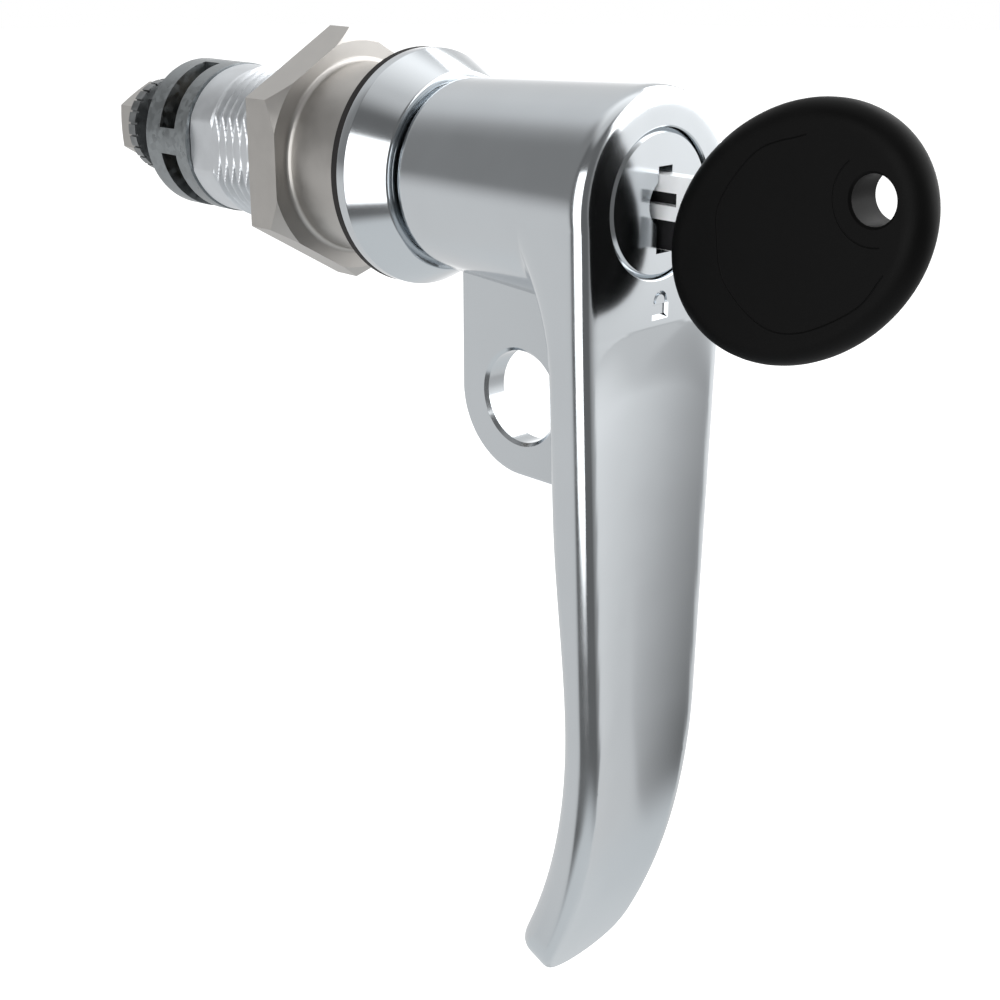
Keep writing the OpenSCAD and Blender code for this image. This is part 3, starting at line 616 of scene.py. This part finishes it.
def make_journal():
    """Neck and journal behind the hub, with seal groove, pockets and pin hole."""
    groove_r, groove_0, groove_1 = SEAL_GROOVE
    front = HUB_REAR - NECK_LAP
    profile = rounded([
        (0.0, front), (NECK_R, front), (NECK_R, NECK_REAR), (JOURNAL_R, NECK_REAR),
        (JOURNAL_R, groove_0), (groove_r, groove_0), (groove_r, groove_1), (JOURNAL_R, groove_1),
        (JOURNAL_R, JOURNAL_END), (0.0, JOURNAL_END)], JOURNAL_EDGES)
    piece = lathe("handle_journal", profile)
    cut(piece, rod("driver_cut", DRIVER_BORE_R, *DRIVER_CUT, turns=48))
    cut(piece, box("bolt_cut", *BOLT_SLOT))
    cut(piece, box("drive_cut", *DRIVE_POCKET))
    hole = rod("pin_cut", PIN_HOLE[0], -PIN_REACH, PIN_REACH, turns=32)
    hole.data.transform(Matrix.Rotation(math.pi / 2, 4, "X"))
    hole.data.transform(Matrix.Translation((0.0, PIN_HOLE[1] * MM, 0.0)))
    cut(piece, hole)
    return add(piece, "handle", "handle_chrome")


# The housing

def make_flange():
    """Conical flange with the recess for the handle's neck and the notches for the bolt."""
    profile = rounded([
        (BARREL_BORE_R, FLANGE_REAR), (FLANGE_R, FLANGE_REAR), (FLANGE_R, FLANGE_RIM),
        (FLANGE_FRONT_R, FLANGE_FRONT), (MOUTH_R, FLANGE_FRONT), (MOUTH_R, MOUTH_Y), (NECK_BORE_R, MOUTH_Y),
        (NECK_BORE_R, RECESS_Y), (BARREL_BORE_R, RECESS_Y)], FLANGE_EDGES)
    piece = lathe("flange", profile, turns=192)
    for turn in (0.0, math.pi / 2):
        notch = box("notch", *NOTCH)
        notch.data.transform(Matrix.Rotation(turn, 4, "Y"))
        cut(piece, notch)
    return add(piece, "housing", "housing_chrome", "housing")


def thread_radius(angle, y):
    """Radius of the threaded barrel with its two flats."""
    turn = np.mod(y / THREAD_PITCH - angle / (2.0 * math.pi), 1.0)
    tooth = np.abs(turn - 0.5) * 2.0
    groove = THREAD_DEPTH * np.clip((GROOVE_TOP - tooth) / GROOVE_SLANT, 0.0, 1.0)
    lead, run = THREAD_FADE
    fade = 1.0 - ramp((y - THREAD_END + lead) / run)
    drop = (BARREL_R - NOSE_R) * ramp((y - THREAD_END) / NOSE_STEP)
    crest = np.where(y < THREAD_END, BARREL_R, BARREL_R - drop)
    radius = np.minimum(crest - groove * fade, np.where(y > THREAD_END + NOSE_STEP, NOSE_R, BARREL_R))
    radius = radius - np.maximum(0.0, y - BARREL_END + END_CHAMFER) * END_SLANT
    flats = FLATS_HALF / np.maximum(np.abs(np.cos(angle)), 0.05)
    return soft_union(radius, flats, FLAT_SOFT)


def make_barrel():
    """Threaded barrel with two flats, plain nose and bore, with more points beside the flats."""
    coarse = np.linspace(0.0, 2.0 * math.pi, BARREL_SIDES, endpoint=False)
    corner_at = math.acos(FLATS_HALF / BARREL_R)
    first, last, count = NEAR_FLAT
    near = np.concatenate([base + sign * np.linspace(first * corner_at, last * corner_at, count)
                           for base in (0.0, math.pi) for sign in (-1.0, 1.0)])
    angle = np.unique(np.round(np.mod(np.concatenate([coarse, near]), 2.0 * math.pi), 5))
    ahead, behind, rings = NOSE_RINGS
    y = np.concatenate([
        np.arange(BARREL_START, THREAD_END + THREAD_RUNOUT, RING_STEP),
        np.linspace(THREAD_END + ahead, BARREL_END - behind, rings),
        np.linspace(BARREL_END - END_CHAMFER, BARREL_END, CHAMFER_RINGS)])
    a, outer_y = np.meshgrid(angle, y, indexing="ij")
    r = thread_radius(a, outer_y)
    bore = np.full((len(angle), 1), BARREL_BORE_R)
    r = np.concatenate([r, bore, bore], 1)
    along = np.concatenate([outer_y, 0 * bore + BARREL_END, 0 * bore + BARREL_START], 1)
    a = np.broadcast_to(angle[:, None], r.shape)
    points = np.stack([r * np.cos(a), along, r * np.sin(a)], -1).reshape(-1, 3)
    piece = add_mesh("threaded_barrel", points, grid_faces(*r.shape))
    return add(tidy_mesh(piece), "housing", "housing_chrome")


def make_crescent():
    """Stop crescent on the barrel's rear face."""
    first, last = (math.radians(v) for v in STOP_ANGLES)
    a = np.linspace(first, last, CRESCENT_STEPS)
    outline = [(STOP_R * math.cos(t), STOP_R * math.sin(t)) for t in a]
    outline += [(BARREL_BORE_R * math.cos(t), BARREL_BORE_R * math.sin(t)) for t in a[::-1]]
    piece = prism("stop_crescent", outline, (BARREL_END - CRESCENT_LAP, STOP_END))
    return add(piece, "housing", "housing_chrome")


# The key's bow

def bow_local(p):
    """Points in the bow's own frame, along its long and short axes."""
    y, z = p[..., 1] - BOW_MIDDLE[1], p[..., 2] - BOW_MIDDLE[2]
    c, s = math.cos(BOW_TILT), math.sin(BOW_TILT)
    return y * c - z * s, y * s + z * c


def bow_field(p):
    """Distance to the oval bow with its round edge."""
    u, v = bow_local(p)
    a, b = BOW_HALF
    level = (u / a) ** 2 + (v / b) ** 2 - 1.0
    outline = level / np.maximum(2.0 * np.hypot(u / a ** 2, v / b ** 2), 0.02)
    return corner(outline, np.abs(p[..., 0]) - BOW_T / 2, BOW_T / 2 - BOW_FLAT)


def bow_place(u, v, x):
    """Place in the latch of a point of the bow's own frame."""
    c, s = math.cos(BOW_TILT), math.sin(BOW_TILT)
    return (x, BOW_MIDDLE[1] + u * c + v * s, BOW_MIDDLE[2] - u * s + v * c)


def smooth_path(knots, steps=10):
    """Curve through knots."""
    k = np.array(knots, float)
    k = np.concatenate([[2 * k[0] - k[1]], k, [2 * k[-1] - k[-2]]])
    out = []
    for i in range(1, len(k) - 2):
        for t in np.linspace(0.0, 1.0, steps, endpoint=False):
            out.append(0.5 * (2 * k[i] + (k[i + 1] - k[i - 1]) * t
                              + (2 * k[i - 1] - 5 * k[i] + 4 * k[i + 1] - k[i + 2]) * t ** 2
                              + (3 * k[i] - k[i - 1] - 3 * k[i + 1] + k[i + 2]) * t ** 3))
    return out + [k[-2]]


def make_bow():
    """Black bow with a ring hole, fine lines on both sides and the slot of the blade."""
    piece = field_mesh("bow", bow_field, *BOW_BOX, BOW_CELL)
    u, v, r = RING_HOLE
    half = BOW_T / 2
    lip, beyond = r + RING_CHAMFER, half + THROUGH
    hole = [
        (0.0, -beyond), (lip + THROUGH, -beyond), (lip, -half), (r, RING_CHAMFER - half),
        (r, half - RING_CHAMFER), (lip, half), (lip + THROUGH, beyond), (0.0, beyond)]
    cut(piece, lathe("hole_cut", hole, 64, (0.0,) + bow_place(u, v, 0.0)[1:], "X"))
    panel = smooth_path(PANEL_LINE)
    boss_r, first, last, count = BOSS_LINE
    boss = [(u + boss_r * math.cos(t), v + boss_r * math.sin(t)) for t in np.linspace(first, last, count)]
    for side in (-half, half):
        for path in (panel, boss):
            cut(piece, tube("line_cut", [bow_place(q[0], q[1], side) for q in path], LINE_R))
    slot = box("slot_cut", *BLADE_SLOT)
    slot.data.transform(Matrix.Translation(Vector(BOW_MIDDLE) * MM))
    cut(piece, slot)
    return add(piece, "key", "bow_plastic", "key_bow")


def make_groove_shade_plates():
    """Near-black plates at the floors of the grooves along the key's blade, which paint the shade inside
    the grooves.
    """
    x0, x1, y0, y1 = GROOVE_FLOOR
    pieces = [box("groove_floor", (x0, y0, z0), (x1, y1, z1)) for z0, z1 in GROOVES]
    return [add(piece, "key", "blade_nickel") for piece in pieces]


# Materials

def node_math(tree, operation, *values):
    """Math node whose inputs are numbers or sockets, and its output."""
    node = tree.nodes.new("ShaderNodeMath")
    node.operation = operation
    for i, value in enumerate(values):
        if isinstance(value, (int, float)):
            node.inputs[i].default_value = value
        else:
            tree.links.new(value, node.inputs[i])
    return node.outputs[0]


def node_step(tree, value, low, high):
    """Map range node that goes smoothly from 0 to 1 between two values of a socket."""
    node = tree.nodes.new("ShaderNodeMapRange")
    node.interpolation_type = "SMOOTHSTEP"
    tree.links.new(value, node.inputs["Value"])
    node.inputs["From Min"].default_value = low
    node.inputs["From Max"].default_value = high
    return node.outputs["Result"]


def node_mix(tree, share, first, second):
    """Mix of two colours or colour sockets."""
    node = tree.nodes.new("ShaderNodeMix")
    node.data_type = "RGBA"
    tree.links.new(share, node.inputs["Factor"])
    for name, value in (("A", first), ("B", second)):
        socket = next(i for i in node.inputs if i.name == name and i.type == "RGBA")
        if isinstance(value, tuple):
            socket.default_value = (*value, 1.0)
        else:
            tree.links.new(value, socket)
    return next(o for o in node.outputs if o.type == "RGBA")


def surface(name, colour, metallic, roughness, drift, spread, size, grain, bump, cells=False, specular=0.5):
    """Material whose colour drifts over size mm, with roughness and relief from a fine grain in mm."""
    material = bpy.data.materials.new(name)
    material.use_nodes = True
    tree = material.node_tree
    shader = tree.nodes["Principled BSDF"]
    shader.inputs["Metallic"].default_value = metallic
    shader.inputs["Specular IOR Level"].default_value = specular
    place = tree.nodes.new("ShaderNodeTexCoord").outputs["Object"]
    if cells:
        patch = tree.nodes.new("ShaderNodeTexVoronoi")
        parts = tree.nodes.new("ShaderNodeSeparateColor")
        tree.links.new(patch.outputs["Color"], parts.inputs[0])
        patches = parts.outputs[0]
    else:
        patch = tree.nodes.new("ShaderNodeTexNoise")
        patches = node_step(tree, patch.outputs["Fac"], 0.3, 0.7)
    patch.inputs["Scale"].default_value = 1000.0 / size
    tree.links.new(place, patch.inputs["Vector"])
    fine = tree.nodes.new("ShaderNodeTexNoise")
    fine.inputs["Scale"].default_value = 1000.0 / grain
    fine.inputs["Detail"].default_value = 3.0
    tree.links.new(place, fine.inputs["Vector"])
    dark = tuple(c * (1.0 - drift) for c in colour)
    light = tuple(min(1.0, c * (1.0 + drift)) for c in colour)
    tree.links.new(node_mix(tree, patches, dark, light), shader.inputs["Base Color"])
    level = node_math(tree, "MULTIPLY_ADD", patches, spread, roughness - 0.75 * spread)
    rough = node_math(tree, "MULTIPLY_ADD", fine.outputs["Fac"], 0.5 * spread, level)
    tree.links.new(rough, shader.inputs["Roughness"])
    relief = tree.nodes.new("ShaderNodeBump")
    relief.inputs["Strength"].default_value = bump
    relief.inputs["Distance"].default_value = grain * MM * 0.2
    tree.links.new(fine.outputs["Fac"], relief.inputs["Height"])
    tree.links.new(relief.outputs["Normal"], shader.inputs["Normal"])
    return material


def dress(piece, material):
    """Gives a piece one material."""
    piece.data.materials.clear()
    piece.data.materials.append(material)


def soften(piece, width, segments):
    """Bevels the sharp edges of a piece."""
    step = piece.modifiers.new("edges", "BEVEL")
    step.width = width * MM
    step.segments = segments
    step.limit_method = "ANGLE"
    step.angle_limit = SHARP_ANGLE
    step.harden_normals = True


# Colour, metallic and roughness, then drift, spread, size, grain and bump
chrome = surface("chrome", (0.605, 0.635, 0.66), 1.0, 0.15, 0.015, 0.03, 9.0, 0.5, 0.0)
zinc = surface("zinc", (0.69, 0.715, 0.74), 1.0, 0.42, 0.03, 0.06, 2.0, 0.3, 0.01)
nickel = surface("nickel", (0.50, 0.485, 0.465), 1.0, 0.4, 0.03, 0.05, 3.0, 0.3, 0.01)
blade = surface("blade", (0.905, 0.92, 0.93), 0.45, 0.46, 0.03, 0.08, 2.0, 0.3, 0.02)
# Painted shade: near-black colour for the plates that darken the key's grooves.
groove_painted_shade = surface("groove_painted_shade", (0.012, 0.012, 0.013), 0.0, 0.55, 0.2, 0.1, 2.0, 0.2, 0.05,
                    specular=0.15)
galvanised = surface("galvanised", (0.285, 0.305, 0.315), 1.0, 0.38, 0.16, 0.2, 0.7, 0.25, 0.06,
                     cells=True)
steel = surface("steel", (0.50, 0.50, 0.49), 1.0, 0.34, 0.06, 0.1, 2.5, 0.2, 0.03)
# Spindle steel, made darker than the metal itself as painted shade inside the sleeve's windows.
spindle_steel_and_shade = surface("spindle_steel_and_shade", (0.15, 0.155, 0.16), 1.0, 0.36, 0.1, 0.1, 2.0, 0.2, 0.03)
dark_steel = surface("dark_steel", (0.25, 0.26, 0.265), 1.0, 0.4, 0.2, 0.12, 1.5, 0.2, 0.05)
rubber = surface("rubber", (0.012, 0.011, 0.011), 0.0, 0.7, 0.2, 0.1, 3.0, 0.18, 0.3, specular=0.3)
plastic = surface("plastic", (0.002, 0.002, 0.002), 0.0, 0.5, 0.1, 0.08, 5.0, 0.22, 0.1, specular=0.08)
white_plastic = surface("white_plastic", (0.68, 0.65, 0.56), 0.0, 0.5, 0.05, 0.1, 3.0, 0.3, 0.1)
brass = surface("brass", (0.72, 0.52, 0.24), 1.0, 0.32, 0.08, 0.1, 2.0, 0.2, 0.04)
bronze = surface("bronze", (0.50, 0.33, 0.16), 1.0, 0.42, 0.12, 0.12, 1.2, 0.15, 0.06)
cast_zinc = surface("cast_zinc", (0.50, 0.50, 0.48), 1.0, 0.45, 0.08, 0.12, 1.5, 0.2, 0.08)

for piece in (make_handle(), make_eye(), make_keel(), make_journal(), make_flange()):
    dress(piece, chrome)
for piece in (make_barrel(), make_crescent()):
    dress(piece, zinc)
dress(make_bow(), plastic)
# The groove plates carry painted shade.
for piece in make_groove_shade_plates():
    dress(piece, groove_painted_shade)
LOOKS = {
    "handle": chrome, "housing": chrome, "gasket": rubber, "clamp_nut": nickel,
    "thrust_washer": white_plastic, "barrel_bush": bronze, "spindle": spindle_steel_and_shade, "cross_pin": steel,
    "seal_ring": rubber, "stop_sleeve": galvanised, "retaining_ring": dark_steel,
    "lock_washer": dark_steel, "cam_screw": nickel, "lock_shell": cast_zinc, "lock_plug": chrome,
    "wafers": brass, "wafer_springs": steel, "plug_clip": dark_steel, "bolt_driver": cast_zinc,
    "locking_bolt": steel, "key_bow": plastic, "key_blade": blade}
for name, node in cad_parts.items():
    dress(node, LOOKS[name])
for name, width, segments in (
        ("cam_screw", 0.12, 2), ("stop_sleeve", 0.1, 2), ("spindle", 0.1, 2), ("lock_plug", 0.28, 4)):
    soften(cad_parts[name], width, segments)


# Camera and studio

def make_camera():
    """Camera as in the photograph."""
    yaw, pitch, roll = CAMERA_TURN
    ahead = Vector((math.sin(yaw) * math.cos(pitch), math.cos(yaw) * math.cos(pitch), -math.sin(pitch)))
    right = Vector((math.cos(yaw), -math.sin(yaw), 0.0))
    up = right.cross(ahead)
    right, up = right * math.cos(roll) + up * math.sin(roll), up * math.cos(roll) - right * math.sin(roll)
    camera = bpy.data.objects.new("camera", bpy.data.cameras.new("camera"))
    bpy.context.scene.collection.objects.link(camera)
    camera.matrix_world = Matrix((right, up, -ahead)).transposed().to_4x4()
    camera.location = Vector(CAMERA_AT) * MM
    camera.data.lens = CAMERA_LENS
    camera.data.clip_start = CAMERA_NEAR
    bpy.context.scene.camera = camera


def make_world():
    """Dim room with a light floor and ceiling, which the metal mirrors, and a white backdrop."""
    world = bpy.data.worlds.new("studio")
    bpy.context.scene.world = world
    world.use_nodes = True
    tree = world.node_tree

    def calc(operation, *values):
        return node_math(tree, operation, *values)

    def step(value, low, high):
        return node_step(tree, value, low, high)

    coords = tree.nodes.new("ShaderNodeTexCoord")
    parts = tree.nodes.new("ShaderNodeSeparateXYZ")
    tree.links.new(coords.outputs["Generated"], parts.inputs[0])
    x, y, z = parts.outputs
    to_rear = calc("MULTIPLY_ADD", y, REAR_WAY[1], calc("MULTIPLY", x, REAR_WAY[0]))
    to_right = calc("MULTIPLY_ADD", y, RIGHT_WAY[1], calc("MULTIPLY", x, RIGHT_WAY[0]))
    rear = step(to_rear, -0.05, 0.06)
    # Walls that grow brighter to the right up to a limit, and dimmer towards floor and ceiling
    height = calc("MULTIPLY_ADD", calc("MINIMUM", z, -0.1), 0.8, 0.563)
    height = calc("MULTIPLY_ADD", step(z, 0.2, 0.5), -0.13, height)
    limit = calc("MULTIPLY_ADD", step(z, 0.1, 0.4), -0.25, 1.05)
    slant = calc("MINIMUM", calc("MULTIPLY_ADD", to_right, 0.9, height), limit)
    # Glow at the height of the latch on the right
    level = calc("MULTIPLY", step(z, -0.36, -0.1), step(z, 0.2, 0.05))
    glow = calc("MULTIPLY", level, step(to_right, 0.1, 0.5))
    # Least light, and a bright lower half of the rear
    least = calc("MULTIPLY_ADD", rear, 0.11, 0.17)
    walls = calc("MAXIMUM", calc("MULTIPLY_ADD", glow, 0.35, slant), least)
    low_rear = calc("MULTIPLY", rear, step(z, 0.22, -0.22))
    walls = calc("MAXIMUM", walls, calc("MULTIPLY", low_rear, 0.79))
    # Light above on the right, then the ceiling and the ground
    above = calc("MULTIPLY", step(z, 0.40, 0.85), step(to_right, 0.02, 0.3))
    walls = node_mix(tree, above, walls, OVERHEAD)
    ceiling = calc("MAXIMUM", calc("MULTIPLY_ADD", to_right, 1.2, 1.05), 0.75)
    ceiling = calc("MINIMUM", ceiling, 1.6)
    walls = node_mix(tree, step(z, 0.74, 0.95), walls, ceiling)
    room = node_mix(tree, step(z, -0.60, -0.74), walls, GROUND)
    background = tree.nodes["Background"]
    seen = tree.nodes.new("ShaderNodeLightPath").outputs["Is Camera Ray"]
    tree.links.new(node_mix(tree, seen, room, BACKDROP), background.inputs["Color"])


def softbox(name, azimuth, elevation, distance, width, height, radiance):
    """Area light that faces the latch. Azimuth 0 is in front of it, and 90 to its right."""
    data = bpy.data.lights.new(name, "AREA")
    data.shape = "RECTANGLE"
    data.size, data.size_y = width, height
    data.energy = radiance * math.pi * width * height
    lamp = bpy.data.objects.new(name, data)
    bpy.context.scene.collection.objects.link(lamp)
    a, e = math.radians(azimuth), math.radians(elevation)
    away = Vector((math.sin(a) * math.cos(e), -math.cos(a) * math.cos(e), math.sin(e)))
    lamp.location = Vector(LIGHT_AIM) + away * distance
    lamp.rotation_mode = "QUATERNION"
    lamp.rotation_quaternion = away.to_track_quat("Z", "Y")
    lamp.visible_camera = False


def make_floor():
    """Pale floor far enough below to take no hard shadow."""
    bpy.ops.mesh.primitive_circle_add(
        vertices=64, radius=FLOOR_R, fill_type="NGON", location=(0.0, 0.0, FLOOR_Z))
    floor = bpy.context.object
    floor.name = "floor"
    floor.visible_glossy = False
    material = bpy.data.materials.new("floor")
    material.use_nodes = True
    shader = material.node_tree.nodes["Principled BSDF"]
    shader.inputs["Base Color"].default_value = FLOOR_GREY
    shader.inputs["Roughness"].default_value = 0.9
    shader.inputs["Emission Color"].default_value = (1.0, 1.0, 1.0, 1.0)
    shader.inputs["Emission Strength"].default_value = FLOOR_GLOW
    floor.data.materials.append(material)


make_camera()
make_world()
softbox("left_box", azimuth=-85.0, elevation=2.0, distance=1.2, width=1.4, height=1.32, radiance=2.4)
softbox("right_box", azimuth=64.0, elevation=31.0, distance=1.2, width=2.3, height=1.45, radiance=2.1)
make_floor()
bpy.context.scene.view_settings.view_transform = "Standard"
